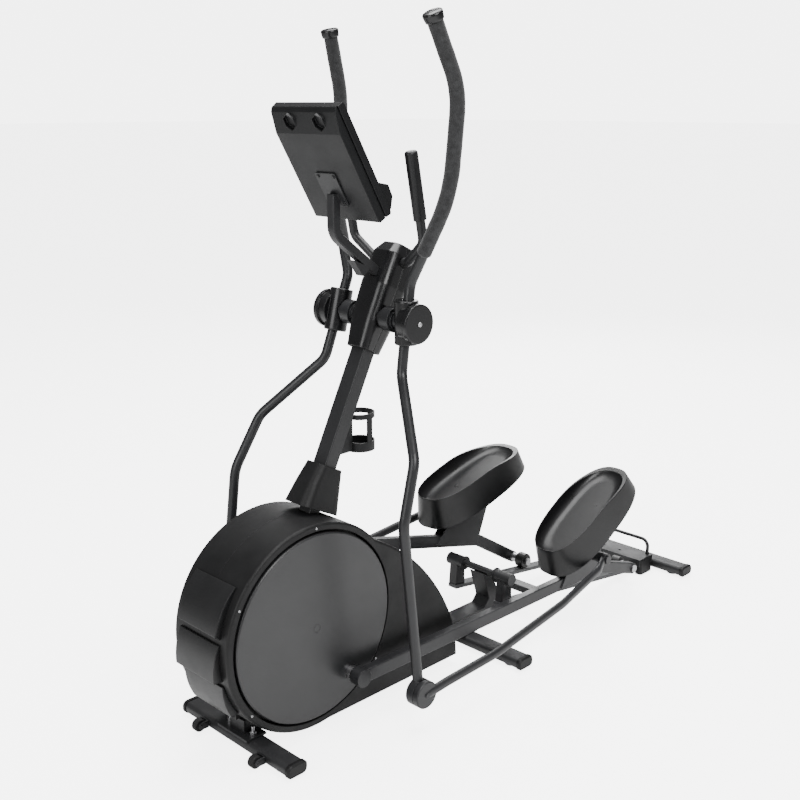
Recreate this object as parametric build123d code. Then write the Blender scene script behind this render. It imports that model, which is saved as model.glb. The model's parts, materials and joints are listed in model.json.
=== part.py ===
from build123d import *
from math import acos, atan2, cos, degrees, hypot, pi, radians, sin, tan
import os

os.makedirs("parts", exist_ok=True)

# Elliptical trainer with a front crank, in millimetres.
# +X is the front (the console end), +Y the machine's left, +Z up, and the floor is Z = 0.
# The origin is on the floor under the middle of the machine.

# ---- driving dimensions -------------------------------------------------------------------------
FRONT_REACH = 301          # crank axis to the front of the drive housing
REAR_REACH = 1615          # crank axis to the back of the rear stabilizer
CRANK_X = (FRONT_REACH + REAR_REACH) / 2 - FRONT_REACH
CRANK_Z = 307              # height of the crank axis
CRANK_RADIUS = 204         # crank axis to the arm's pin
CRANK_REST = 235.3         # direction of the left pin at rest, from +X towards +Z
DISC_RADIUS = 255
DISC_FACE_Y = 115
DISC_THICKNESS = 12

HOUSING_RADIUS = 281
HOUSING_HALF_WIDTH = 110
HOUSING_WALL = 3
HOUSING_EDGE = 7
WELL_FLOOR_Y = 80          # bottom of the round well that the crank disc turns in
HOUSING_FLOOR = 29

ARM_Y = 150                # middle plane of each roller arm
ARM_WIDTH = 26
ARM_HEIGHT = 38
ARM_STRAIGHT = 1070        # crank pin to the bend
ARM_TAIL = 215             # bend to the roller axle
ARM_BEND = 17.5            # degrees
PIN_GAP = 1.0              # gap left at each linkage point that is open

RAIL_SLOPE = 8.0           # degrees, falling towards the rear
RAIL_Y = 95
RAIL_WIDTH = 34
RAIL_THICKNESS = 12
RAIL_LEVEL_X = -1200       # from the crank axis: where the rail's underside is RAIL_LEVEL_Z high
RAIL_LEVEL_Z = 50
ROLLER_RADIUS = 25
ROLLER_GAP = 0.5

LINK_U = 975               # link pivot, along the arm from the crank pin
LINK_V = 82                # link pivot, above the arm's middle line
LINK_PIVOT_Y = 240
LINK_LENGTH = 883

HANDLE_X = -309            # handlebar pivot, from the crank axis
HANDLE_Z = 1067
HANDLE_Y = 131
HANDLE_DROP = 967.5        # handlebar pivot to the lower joint
JOINT_Y = 271              # middle of the handlebar's lower tube
JOINT_RADIUS = 38
TUBE_RADIUS = 14

MAST_WIDTH = 50
MAST_DEPTH = 42
MAST_WALL = 2.5
MAST_LEAN = 26.2           # degrees from upright, towards the rear
MAST_FOOT_Z = 640

FLYWHEEL_X = -330
FLYWHEEL_Z = 228
FLYWHEEL_RADIUS = 116
PULLEY_RADIUS = 140
SMALL_PULLEY_RADIUS = 24
BELT_Y = 56
BELT_WIDTH = 10
BELT_THICKNESS = 4
IDLER_RADIUS = 18

STABILIZERS = {"front": (165, 227), "mid": (-660, 282), "rear": (-1583, 261)}
STABILIZER_DEPTH = 60
STABILIZER_HEIGHT = 32
STABILIZER_FLOOR = 6
CAP_LENGTH = 14


# ---- helpers ------------------------------------------------------------------------------------
def at(x, y, z):
    """A point given from the crank axis in X."""
    return (CRANK_X + x, y, z)


def turn_about(shape, x, z, angle):
    """Turn a shape about the line along Y through (x, z), given from the crank axis."""
    there = Location(at(x, 0, z))
    return there * Rot(0, angle, 0) * there.inverse() * shape


def side_profile(points, y_low, y_high):
    """A prism along Y whose outline is given in X and Z."""
    outline = Plane.XZ * make_face(Polyline(*points, close=True))
    return Pos(0, y_high, 0) * extrude(outline, y_high - y_low)


def disc_y(x, z, radius, y_low, y_high):
    """A round disc or shaft along Y."""
    return Pos(*at(x, (y_low + y_high) / 2, z)) * Rot(90, 0, 0) * Cylinder(radius, y_high - y_low)


def block(x_low, x_high, y_low, y_high, z_low, z_high):
    centre = at((x_low + x_high) / 2, (y_low + y_high) / 2, (z_low + z_high) / 2)
    return Pos(*centre) * Box(x_high - x_low, y_high - y_low, z_high - z_low)


def round_tube(points, radii, radius):
    """A round bar along straight runs joined by arcs."""
    path = FilletPolyline(*points, radius=radii)
    section = Plane(origin=path @ 0, z_dir=path % 0) * Circle(radius)
    return sweep(section, path=path)


def box_tube(points, radii, width, depth, wall=0):
    """A rectangular tube along a path in a plane of constant Y."""
    path = FilletPolyline(*points, radius=radii) if radii else Polyline(*points)
    plane = Plane(origin=path @ 0, z_dir=path % 0, x_dir=(0, 1, 0))
    solid = sweep(plane * RectangleRounded(width, depth, 3), path=path)
    if wall:
        solid -= sweep(plane * Rectangle(width - 2 * wall, depth - 2 * wall), path=path)
    return solid


def mirrored(shape):
    return mirror(shape, about=Plane.XZ)


def save(shape, name):
    export_step(shape, "parts/" + name + ".step")


# ---- the linkage at rest ------------------------------------------------------------------------
def roller_line(x):
    """Height of a roller's axle above the floor, x from the crank axis."""
    slope = tan(radians(RAIL_SLOPE))
    lift = (RAIL_THICKNESS + ROLLER_RADIUS + ROLLER_GAP) / cos(radians(RAIL_SLOPE))
    return RAIL_LEVEL_Z + lift + slope * (x - RAIL_LEVEL_X)


def crank_pin(side):
    angle = radians(CRANK_REST + (0 if side == "left" else 180))
    return CRANK_RADIUS * cos(angle), CRANK_Z + CRANK_RADIUS * sin(angle)


def arm_pose(side):
    """The crank pin, the arm's slope in degrees (front high) and the roller axle."""
    pin_x, pin_z = crank_pin(side)
    along = ARM_STRAIGHT + ARM_TAIL * cos(radians(ARM_BEND))
    below = ARM_TAIL * sin(radians(ARM_BEND))
    reach = hypot(along, below)
    slope = tan(radians(RAIL_SLOPE))
    # where a circle of that reach about the pin meets the rollers' line
    offset = pin_z - roller_line(pin_x)
    a = 1 + slope ** 2
    b = -2 * slope * offset
    c = offset ** 2 - reach ** 2
    travel = (-b - (b ** 2 - 4 * a * c) ** 0.5) / (2 * a)
    axle_x = pin_x + travel
    axle_z = roller_line(axle_x)
    fall = degrees(atan2(pin_z - axle_z, pin_x - axle_x))
    return (pin_x, pin_z), fall - degrees(atan2(below, along)), (axle_x, axle_z)


def on_arm(side, u, v):
    """A point u along the arm and v above it."""
    (pin_x, pin_z), slope, _ = arm_pose(side)
    s, c = sin(radians(slope)), cos(radians(slope))
    return pin_x - u * c - v * s, pin_z - u * s + v * c


def lower_joint(side):
    """Where the link meets the handlebar's lower end."""
    px, pz = on_arm(side, LINK_U, LINK_V)
    dx, dz = px - HANDLE_X, pz - HANDLE_Z
    reach = hypot(dx, dz)
    bearing = atan2(dz, dx)
    inner = acos((HANDLE_DROP ** 2 + reach ** 2 - LINK_LENGTH ** 2) / (2 * HANDLE_DROP * reach))
    angle = bearing + inner
    return HANDLE_X + HANDLE_DROP * cos(angle), HANDLE_Z + HANDLE_DROP * sin(angle)


def handle_angle(side):
    x, z = lower_joint(side)
    return degrees(atan2(z - HANDLE_Z, x - HANDLE_X))


def link_angle(side):
    px, pz = on_arm(side, LINK_U, LINK_V)
    jx, jz = lower_joint(side)
    return degrees(atan2(jz - pz, jx - px))


# ---- frame --------------------------------------------------------------------------------------
def mast_x(z):
    """The mast's middle line."""
    return HANDLE_X - 12 - (z - HANDLE_Z) * tan(radians(MAST_LEAN))


def rail_under(x):
    return RAIL_LEVEL_Z + tan(radians(RAIL_SLOPE)) * (x - RAIL_LEVEL_X)


BEAM_LOW = STABILIZER_FLOOR + STABILIZER_HEIGHT
BEAM_HIGH = BEAM_LOW + 42
BEARING_OUTER = 22
AXLE_RADIUS = 12.5
FLY_AXLE_RADIUS = 8
IDLER_PIN_RADIUS = 6
CROSSBAR_X = -773
CROSSBAR_Z = 200
CROSSBAR_HALF = 128
SLEEVE_RADIUS = 19
ROD_RADIUS = 11


def belt_idler_centre():
    """The idler wheel runs on the outside of the belt's lower run."""
    dx, dz = FLYWHEEL_X, FLYWHEEL_Z - CRANK_Z
    reach = hypot(dx, dz)
    ux, uz = dx / reach, dz / reach
    lean = (PULLEY_RADIUS - SMALL_PULLEY_RADIUS) / reach
    across = (1 - lean ** 2) ** 0.5
    nx, nz = lean * ux - across * uz, lean * uz + across * ux
    out = SMALL_PULLEY_RADIUS + BELT_THICKNESS + IDLER_RADIUS + 1.2
    # 80 mm in front of the small pulley, measured along the run
    return FLYWHEEL_X + nx * out - nz * 80, FLYWHEEL_Z + nz * out + nx * 80


def make_main_frame():
    beam = block(-770, 180, -30, 30, BEAM_LOW, BEAM_HIGH)
    beam -= block(-767, 177, -27, 27, BEAM_LOW + 3, BEAM_HIGH - 3)
    # lower mast, up to the joint under the foot cover
    lower = box_tube([at(mast_x(BEAM_HIGH - 6), 0, BEAM_HIGH - 6), at(mast_x(MAST_FOOT_Z + 45), 0, MAST_FOOT_Z + 45)],
                     None, MAST_WIDTH - 2 * MAST_WALL - 1, MAST_DEPTH - 2 * MAST_WALL - 1, 3)
    # bearing tube for the crank, on two tower plates
    tube = disc_y(0, CRANK_Z, BEARING_OUTER + 6, -44, 44)
    tower = [at(-40, 0, BEAM_HIGH - 2), at(60, 0, BEAM_HIGH - 2), at(30, 0, CRANK_Z), at(-28, 0, CRANK_Z)]
    tower = [(p[0], p[2]) for p in tower]
    frame = beam + lower + tube + side_profile(tower, 24, 30) + side_profile(tower, -30, -24)
    frame -= disc_y(0, CRANK_Z, BEARING_OUTER, -50, 50)
    # fork plates for the flywheel's axle
    fork = [at(-400, 0, BEAM_HIGH - 10), at(-260, 0, BEAM_HIGH - 10), at(-312, 0, FLYWHEEL_Z + 22), at(-348, 0, FLYWHEEL_Z + 22)]
    fork = [(p[0], p[2]) for p in fork]
    for low, high in ((-36, -30), (68, 74)):
        frame += side_profile(fork, low, high)
    frame += block(-396, -264, -31, 74, BEAM_HIGH - 14, BEAM_HIGH)
    # pin of the idler wheel, on the fork plate
    idler_x, idler_z = belt_idler_centre()
    frame += disc_y(idler_x, idler_z, IDLER_PIN_RADIUS, BELT_Y - 8, 72)
    frame += side_profile([(CRANK_X + idler_x - 12, idler_z - 12), (CRANK_X + idler_x + 14, idler_z - 12),
                           (CRANK_X + idler_x + 14, idler_z + 12), (CRANK_X - 318, FLYWHEEL_Z),
                           (CRANK_X - 330, FLYWHEEL_Z - 60)], 68, 74)
    frame -= disc_y(FLYWHEEL_X, FLYWHEEL_Z, FLY_AXLE_RADIUS, -60, 90)
    # knee bracket that carries the rear track's crossbar
    knee = [at(-745, 0, BEAM_LOW), at(-812, 0, BEAM_LOW), at(-836, 0, 98), at(-792, 0, CROSSBAR_Z - 6),
            at(-756, 0, CROSSBAR_Z - 6), at(-786, 0, 104), at(-766, 0, BEAM_HIGH)]
    knee = [(p[0], p[2]) for p in knee]
    frame += side_profile(knee, -28, 28)
    frame -= disc_y(CROSSBAR_X, CROSSBAR_Z, ROD_RADIUS + 4, -60, 60)
    # trim the mast's foot flush inside the housing
    frame -= block(164, 300, -40, 40, BEAM_HIGH, 300)
    # saddle plates over the stabilizers
    for name in ("front", "mid"):
        x, _ = STABILIZERS[name]
        frame += block(x - 32, x + 32, -62, 62, BEAM_LOW, BEAM_LOW + 6)
    return frame


def stabilizer_section(grow=0):
    return RectangleRounded(STABILIZER_DEPTH + grow, STABILIZER_HEIGHT + grow, (STABILIZER_HEIGHT + grow) * 0.42)


def make_stabilizer(name):
    x, half = STABILIZERS[name]
    middle = STABILIZER_FLOOR + STABILIZER_HEIGHT / 2
    plane = Plane(origin=at(x, half - CAP_LENGTH, middle), x_dir=(1, 0, 0), z_dir=(0, -1, 0))
    tube = extrude(plane * stabilizer_section(), 2 * (half - CAP_LENGTH))
    return tube - extrude(plane * stabilizer_section(-5), 2 * (half - CAP_LENGTH))


def make_end_caps():
    caps = []
    for x, half in STABILIZERS.values():
        middle = STABILIZER_FLOOR + STABILIZER_HEIGHT / 2
        for side in (1, -1):
            plane = Plane(origin=at(x, side * (half - CAP_LENGTH), middle), x_dir=(1, 0, 0), z_dir=(0, side, 0))
            cap = extrude(plane * stabilizer_section(4), CAP_LENGTH)
            cap = chamfer(cap.faces().sort_by(Axis.Y)[-1 if side > 0 else 0].edges(), 4)
            caps.append(cap)
    return Compound(caps)


def make_foot_pads():
    pads = []
    for x, half in STABILIZERS.values():
        for side in (1, -1):
            pad = Pos(*at(x, side * (half - 58), STABILIZER_FLOOR / 2)) * Cylinder(19, STABILIZER_FLOOR)
            pads.append(chamfer(pad.edges().sort_by(Axis.Z)[0], 1.5))
    return Compound(pads)


def make_mast():
    low = MAST_FOOT_Z
    high = HANDLE_Z + 150
    mast = box_tube([at(mast_x(low), 0, low), at(mast_x(high), 0, high)], None, MAST_WIDTH, MAST_DEPTH, MAST_WALL)
    mast += disc_y(HANDLE_X, HANDLE_Z, 24, -52, 52)
    return mast - disc_y(HANDLE_X, HANDLE_Z, 10, -60, 60)


def along_mast(z):
    """A plane across the mast at height z, its x towards the front."""
    lean = radians(MAST_LEAN)
    return Plane(origin=at(mast_x(z), 0, z), x_dir=(cos(lean), 0, sin(lean)), z_dir=(-sin(lean), 0, cos(lean)))


def mast_block(sections, thickness=0):
    """A lofted cover round the mast: (height, depth, width, forward shift) for each section."""
    faces = []
    for z, depth, width, shift in sections:
        d, w = depth - 2 * thickness, width - 2 * thickness
        faces.append(along_mast(z) * Pos(shift, 0, 0) * RectangleRounded(d, w, min(d, w) * 0.28))
    return loft(faces, ruled=True)


def mast_hole(low, high, clear):
    """The mast's outline with a little clearance, to cut its way through a cover."""
    line = [at(mast_x(low), 0, low), at(mast_x(high), 0, high)]
    return box_tube(line, None, MAST_WIDTH + 2 * clear, MAST_DEPTH + 2 * clear)


def make_foot_cover():
    sections = [(585, 136, 96, -2), (640, 112, 82, 0), (690, 84, 72, 0)]
    cover = mast_block(sections)
    inner = mast_block([(570, 130, 90, -2), (640, 106, 76, 0), (684, 78, 66, 0)])
    cover = cover - inner
    cover -= mast_hole(540, 740, 0.4)
    return cover - housing_solid(0.4)


def housing_outline():
    """Side outline of the drive housing: a drum with a tail that falls to the rear."""
    drum = Pos(CRANK_X, CRANK_Z) * Circle(HOUSING_RADIUS)
    start = at(-214, 0, 0)[0], CRANK_Z + 182
    tail = [ThreePointArc(start, (CRANK_X - 420, 326), (CRANK_X - 540, 112)),
            Line((CRANK_X - 540, 112), (CRANK_X - 546, HOUSING_FLOOR)),
            Line((CRANK_X - 546, HOUSING_FLOOR), (CRANK_X, HOUSING_FLOOR)),
            Line((CRANK_X, HOUSING_FLOOR), (CRANK_X, CRANK_Z)),
            Line((CRANK_X, CRANK_Z), start)]
    return drum + make_face(tail)


def housing_solid(grow):
    outline = housing_outline()
    if grow:
        outline = offset(outline, grow)
    half = HOUSING_HALF_WIDTH + grow
    return Pos(0, half, 0) * extrude(Plane.XZ * outline, 2 * half)


def make_housing(side):
    outline = housing_outline()
    shell = Pos(0, HOUSING_HALF_WIDTH, 0) * extrude(Plane.XZ * outline, HOUSING_HALF_WIDTH - 0.2)
    shell = fillet(shell.faces().sort_by(Axis.Y)[-1].edges(), HOUSING_EDGE)
    cavity = offset(outline, -HOUSING_WALL)
    depth = HOUSING_HALF_WIDTH - HOUSING_WALL
    well = disc_y(0, CRANK_Z, DISC_RADIUS + 7 + HOUSING_WALL, WELL_FLOOR_Y - HOUSING_WALL, depth)
    hollow = Pos(0, depth, 0) * extrude(Plane.XZ * cavity, depth)
    hollow -= well
    shell -= hollow
    shell -= disc_y(0, CRANK_Z, DISC_RADIUS + 7, WELL_FLOOR_Y, 200)
    shell -= disc_y(0, CRANK_Z, 46, -5, 200)
    # slots for the mast, the floor beam and the front saddle plate
    shell -= mast_hole(60, 720, 1)
    shell -= block(-900, 260, -5, 30.6, 20, BEAM_HIGH + 0.6)
    front_x, _ = STABILIZERS["front"]
    shell -= block(front_x - 40, front_x + 60, -5, 63, 20, BEAM_LOW + 7)
    shell -= block(150, 200, -5, 16.3, 83.7, 108.3)
    return shell if side == "left" else mirrored(shell)


def make_front_pads():
    """Three raised pads wrapped round the front of the drum, stepped like shingles."""
    pads = []
    inner = HOUSING_RADIUS + 0.3
    for high, low, front in ((38, 11, 17), (8, -12, 24), (-15, -35, 20)):
        mid = (high + low) / 2
        outer_top, outer_low = inner + 5, inner + front
        a, m, b = radians(high), radians(mid), radians(low)

        def polar(r, angle):
            return CRANK_X + r * cos(angle), CRANK_Z + r * sin(angle)

        edges = [ThreePointArc(polar(inner, a), polar(inner, m), polar(inner, b)),
                 Line(polar(inner, b), polar(outer_low, b + radians(1.5))),
                 ThreePointArc(polar(outer_low, b + radians(1.5)), polar((outer_top + outer_low) / 2 + 3, m),
                               polar(outer_top, a)),
                 Line(polar(outer_top, a), polar(inner, a))]
        pad = Pos(0, 80, 0) * extrude(Plane.XZ * make_face(edges), 160)
        pads.append(pad)
    return Compound(pads)


# ---- rear track ---------------------------------------------------------------------------------
RAIL_FRONT = -748
RAIL_REAR = -1535
PLATE_FRONT = -1466
PLATE_REAR = -1546
PLATE_HALF = 140
PLATE_TOP = 60


def make_crossbar():
    """The crossbar that joins the rear track to the frame: a rod with a sleeve and a leg each side."""
    bar = disc_y(CROSSBAR_X, CROSSBAR_Z, ROD_RADIUS, -CROSSBAR_HALF + 2, CROSSBAR_HALF - 2)
    for side in (1, -1):
        low, high = sorted((side * 66, side * CROSSBAR_HALF))
        bar += disc_y(CROSSBAR_X, CROSSBAR_Z, SLEEVE_RADIUS, low, high)
        low, high = sorted((side * 62, side * 66))
        bar += disc_y(CROSSBAR_X, CROSSBAR_Z, SLEEVE_RADIUS + 3, low, high)
        leg = [at(-790, 0, CROSSBAR_Z), at(-756, 0, CROSSBAR_Z), at(-750, 0, rail_under(-750) + RAIL_THICKNESS + 0.2),
               at(-792, 0, rail_under(-792) + RAIL_THICKNESS + 0.2)]
        low, high = sorted((side * 82, side * 112))
        bar += side_profile([(p[0], p[2]) for p in leg], low, high)
    return bar


def make_rail(side):
    """One sloping rail: a flat channel with a raised edge that keeps the roller on."""
    top = RAIL_THICKNESS / cos(radians(RAIL_SLOPE))
    outline = [at(RAIL_FRONT, 0, rail_under(RAIL_FRONT)), at(RAIL_FRONT, 0, rail_under(RAIL_FRONT) + top),
               at(RAIL_REAR, 0, rail_under(RAIL_REAR) + top), at(RAIL_REAR, 0, rail_under(RAIL_REAR))]
    rail = side_profile([(p[0], p[2]) for p in outline], RAIL_Y - RAIL_WIDTH / 2, RAIL_Y + RAIL_WIDTH / 2)
    groove = [at(RAIL_FRONT - 40, 0, rail_under(RAIL_FRONT - 40) - 1), at(RAIL_FRONT - 40, 0, rail_under(RAIL_FRONT - 40) + 5),
              at(RAIL_REAR + 60, 0, rail_under(RAIL_REAR + 60) + 5), at(RAIL_REAR + 60, 0, rail_under(RAIL_REAR + 60) - 1)]
    rail -= side_profile([(p[0], p[2]) for p in groove], RAIL_Y - 10, RAIL_Y + 10)
    return rail if side == "left" else mirrored(rail)


def make_cross_tube():
    low = rail_under(-945) - 3
    gap = RAIL_Y - RAIL_WIDTH / 2 - 0.2
    tube = block(-962, -928, -gap, gap, low, low + 22)
    return tube - block(-959, -931, -gap, gap, low + 3, low + 19)


def make_rear_plate():
    """Folded cross channel over the rails' rear ends."""
    outer = block(PLATE_REAR, PLATE_FRONT, -PLATE_HALF, PLATE_HALF, 34, PLATE_TOP)
    inner = block(PLATE_REAR + 4, PLATE_FRONT - 4, -PLATE_HALF - 1, PLATE_HALF + 1, 30, PLATE_TOP - 4)
    plate = outer - inner
    for side in (1, -1):
        low, high = sorted((side * 76, side * 116))
        plate += block(PLATE_REAR + 4, PLATE_FRONT - 4, low, high, 30, PLATE_TOP - 4)
    for y in (-34, 34):
        plate -= Pos(*at(-1500, y, PLATE_TOP)) * Cylinder(5, 20)
    return plate


def make_track_feet():
    """Moulded blocks that close the cross channel's ends and stand on the floor."""
    feet = []
    for side in (1, -1):
        low, high = sorted((side * 117, side * (PLATE_HALF + 4)))
        foot = block(PLATE_REAR + 5, PLATE_FRONT - 5, low, high, 4, PLATE_TOP - 4.5)
        feet.append(fillet(foot.edges().filter_by(Axis.Z), 9))
    return Compound(feet)


def make_lift_handle():
    """Bent rod over the rear plate, to lift the track by hand."""
    x, reach, top = -1538, 124, 112
    points = [at(x, -reach, PLATE_TOP + 0.2), at(x, -reach, top), at(x, reach, top), at(x, reach, PLATE_TOP + 0.2)]
    return round_tube(points, 26, 6)


# ---- drive --------------------------------------------------------------------------------------
def make_crankshaft():
    shaft = disc_y(0, CRANK_Z, AXLE_RADIUS - 0.05, -96, 96)
    for side, sign in (("left", 1), ("right", -1)):
        pin_x, pin_z = crank_pin(side)
        low, high = sorted((sign * 82, sign * 96))
        angle = CRANK_REST + (0 if sign > 0 else 180)
        arm = Pos(*at(CRANK_RADIUS / 2, sign * 89, CRANK_Z)) * Box(CRANK_RADIUS, 14, 44)
        shaft += turn_about(arm, 0, CRANK_Z, -angle)
        shaft += disc_y(0, CRANK_Z, 26, low, high)
        low, high = sorted((sign * 82, sign * (ARM_Y - ARM_WIDTH / 2 - 8 - PIN_GAP)))
        shaft += disc_y(pin_x, pin_z, 19, low, high)
    return shaft


def make_crank_disc(side):
    """Round cover disc that turns with the crank, with a hole for the crank pin's boss."""
    low = DISC_FACE_Y - DISC_THICKNESS
    disc = disc_y(0, CRANK_Z, DISC_RADIUS, low, DISC_FACE_Y)
    disc = chamfer(disc.edges().filter_by(GeomType.CIRCLE).sort_by(Axis.Y)[-1], 3)
    disc -= disc_y(0, CRANK_Z, DISC_RADIUS - 12, low - 1, DISC_FACE_Y - 4)
    disc += disc_y(0, CRANK_Z, 34, 96.2, DISC_FACE_Y - 4)
    disc -= disc_y(0, CRANK_Z, 11, DISC_FACE_Y - 0.8, DISC_FACE_Y + 1)
    disc += disc_y(0, CRANK_Z, 10, DISC_FACE_Y - 1, DISC_FACE_Y)
    pin_x, pin_z = crank_pin("left")
    disc -= disc_y(pin_x, pin_z, 19.3, 80, 140)
    if side == "left":
        return disc
    return turn_about(mirrored(disc), 0, CRANK_Z, 180)


def make_crank_pulley():
    pulley = disc_y(0, CRANK_Z, PULLEY_RADIUS, BELT_Y - 7, BELT_Y + 7)
    pulley -= disc_y(0, CRANK_Z, PULLEY_RADIUS - 14, BELT_Y + 2, BELT_Y + 8)
    pulley -= disc_y(0, CRANK_Z, PULLEY_RADIUS - 14, BELT_Y - 8, BELT_Y - 2)
    for step in range(6):
        angle = radians(60 * step)
        pulley -= disc_y(82 * cos(angle), CRANK_Z + 82 * sin(angle), 26, BELT_Y - 9, BELT_Y + 9)
    pulley += disc_y(0, CRANK_Z, 28, BELT_Y - 9, BELT_Y + 9)
    return pulley - disc_y(0, CRANK_Z, AXLE_RADIUS - 0.05, BELT_Y - 12, BELT_Y + 12)


def make_crank_bearings():
    rings = []
    for low, high in ((-43, -29), (29, 43)):
        ring = disc_y(0, CRANK_Z, BEARING_OUTER - 0.02, low, high)
        rings.append(ring - disc_y(0, CRANK_Z, AXLE_RADIUS, low - 1, high + 1))
    return Compound(rings)


def make_flywheel():
    wheel = disc_y(FLYWHEEL_X, FLYWHEEL_Z, FLYWHEEL_RADIUS, -12, 12)
    for low, high in ((-13, -6), (6, 13)):
        wheel -= disc_y(FLYWHEEL_X, FLYWHEEL_Z, FLYWHEEL_RADIUS - 26, low, high)
    wheel += disc_y(FLYWHEEL_X, FLYWHEEL_Z, 20, -24, 48)
    wheel += disc_y(FLYWHEEL_X, FLYWHEEL_Z, SMALL_PULLEY_RADIUS, BELT_Y - 8, BELT_Y + 8)
    return wheel - disc_y(FLYWHEEL_X, FLYWHEEL_Z, FLY_AXLE_RADIUS + 0.05, -40, 80)


def make_flywheel_axle():
    axle = disc_y(FLYWHEEL_X, FLYWHEEL_Z, FLY_AXLE_RADIUS - 0.02, -40, 78)
    for low, high in ((-40, -36.2), (74.2, 78)):
        axle += disc_y(FLYWHEEL_X, FLYWHEEL_Z, 13, low, high)
    return axle


def belt_loop(grow):
    circles = [Pos(CRANK_X, CRANK_Z) * Circle(PULLEY_RADIUS + grow),
               Pos(CRANK_X + FLYWHEEL_X, FLYWHEEL_Z) * Circle(SMALL_PULLEY_RADIUS + grow)]
    edges = [edge for circle in circles for edge in circle.edges()]
    return make_hull(edges)


def make_belt():
    loop = belt_loop(0.5 + BELT_THICKNESS) - belt_loop(0.5)
    return Pos(0, BELT_Y + BELT_WIDTH / 2, 0) * extrude(Plane.XZ * loop, BELT_WIDTH)


def make_idler():
    x, z = belt_idler_centre()
    wheel = disc_y(x, z, IDLER_RADIUS, BELT_Y - 7, BELT_Y + 7)
    return wheel - disc_y(x, z, IDLER_PIN_RADIUS + 0.05, BELT_Y - 9, BELT_Y + 9)


YOKE_PIVOT = (-206, 330)


def make_magnet_yoke():
    """Magnet shoe that swings over the flywheel's rim to brake it."""
    def sector(r_in, r_out, low, high):
        a, m, b = radians(60), radians(84), radians(108)

        def polar(r, angle):
            return CRANK_X + FLYWHEEL_X + r * cos(angle), FLYWHEEL_Z + r * sin(angle)

        edges = [ThreePointArc(polar(r_in, a), polar(r_in, m), polar(r_in, b)),
                 Line(polar(r_in, b), polar(r_out, b)),
                 ThreePointArc(polar(r_out, b), polar(r_out, m), polar(r_out, a)),
                 Line(polar(r_out, a), polar(r_in, a))]
        return Pos(0, high, 0) * extrude(Plane.XZ * make_face(edges), high - low)

    rim = FLYWHEEL_RADIUS
    yoke = sector(rim + 5, rim + 12, -22, 22)
    yoke += sector(rim - 30, rim + 12, 17, 22) + sector(rim - 30, rim + 12, -22, -17)
    px, pz = YOKE_PIVOT
    start = CRANK_X + FLYWHEEL_X + (rim + 8) * cos(radians(66)), FLYWHEEL_Z + (rim + 8) * sin(radians(66))
    lever = [(start[0] - 6, start[1] + 7), (start[0] + 8, start[1] - 8),
             (CRANK_X + px, pz - 11), (CRANK_X + px, pz + 11)]
    yoke += side_profile(lever, -9, 9)
    yoke += disc_y(px, pz, 11, -9, 9)
    return yoke - disc_y(px, pz, 5.05, -20, 20)


def make_brake_motor():
    """Small geared motor that sets the magnets' distance, on a bracket with the yoke's hinge pin."""
    px, pz = YOKE_PIVOT
    motor = block(-196, -150, -26, 26, 384, 420)
    motor += disc_y(-173, 402, 14, 26, 44)
    bracket = [at(px - 10, 0, pz - 10), at(px + 10, 0, pz - 10), at(-140, 0, 372), at(-140, 0, 384), at(-200, 0, 384)]
    bracket = [(p[0], p[2]) for p in bracket]
    motor += side_profile(bracket, 10, 14) + side_profile(bracket, -14, -10)
    motor += block(-196, -150, -14, 14, 380, 386)
    motor += disc_y(px, pz, 5, -14, 14)
    # strut down to the crank tower
    strut = [at(-150, 0, 374), at(-136, 0, 380), at(-22, 0, 344), at(-27, 0, 331)]
    return motor + side_profile([(p[0], p[2]) for p in strut], -14, 14) - disc_y(0, CRANK_Z, BEARING_OUTER + 6.3, -60, 60)


def make_power_inlet():
    """Socket for the supply plug, low on the housing's front."""
    inlet = block(166, 194, -16, 16, 84, 108)
    return inlet - block(184, 200, -11, 11, 89, 103)


# ---- head and console ---------------------------------------------------------------------------
def head_sections(inset):
    i = 2 * inset
    return [(HANDLE_Z - 88 - inset, 76 - i, 74 - i, 0), (HANDLE_Z - 20, 96 - i, 92 - i, 2),
            (HANDLE_Z + 70, 104 - i, 100 - i, 2), (HANDLE_Z + 150, 98 - i, 92 - i, 0),
            (HANDLE_Z + 176 - inset, 70 - i, 66 - i, -4)]


def make_head_cover(half):
    cover = mast_block(head_sections(0)) - mast_block(head_sections(3))
    cover -= mast_hole(HANDLE_Z - 200, HANDLE_Z + 155, 0.4)
    cover -= disc_y(HANDLE_X, HANDLE_Z, 25, -90, 90)
    cover -= console_post_bar(0.5)
    cover -= pulse_bar_rod(0.5)
    base = along_mast(HANDLE_Z)
    keep = Box(400, 400, 800, align=(Align.MIN, Align.CENTER, Align.CENTER))
    shift = 0.2
    if half == "front":
        return cover & (base * Pos(shift, 0, 0) * keep)
    return cover & (base * Pos(-shift, 0, 0) * Rot(0, 0, 180) * keep)


def make_handlebar_shaft():
    shaft = disc_y(HANDLE_X, HANDLE_Z, 9.98, -170, 170)
    for side in (1, -1):
        low, high = sorted((side * 52.2, side * 96))
        shaft += disc_y(HANDLE_X, HANDLE_Z, 24, low, high)
        low, high = sorted((side * 60, side * 92))
        shaft += disc_y(HANDLE_X, HANDLE_Z, 33, low, high)
    return shaft


CONSOLE_LOW = (-226, 1324)
CONSOLE_HIGH = (-68, 1593)
CONSOLE_HALF = 122
BACK_DEPTH = 24
BEZEL_DEPTH = 20


def console_point(depth, up):
    """A point in the console's own frame: depth behind its back plate, up along it."""
    dx, dz = CONSOLE_HIGH[0] - CONSOLE_LOW[0], CONSOLE_HIGH[1] - CONSOLE_LOW[1]
    length = hypot(dx, dz)
    ux, uz = dx / length, dz / length
    return CRANK_X + CONSOLE_LOW[0] + up * ux - depth * uz, CONSOLE_LOW[1] + up * uz + depth * ux


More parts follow.
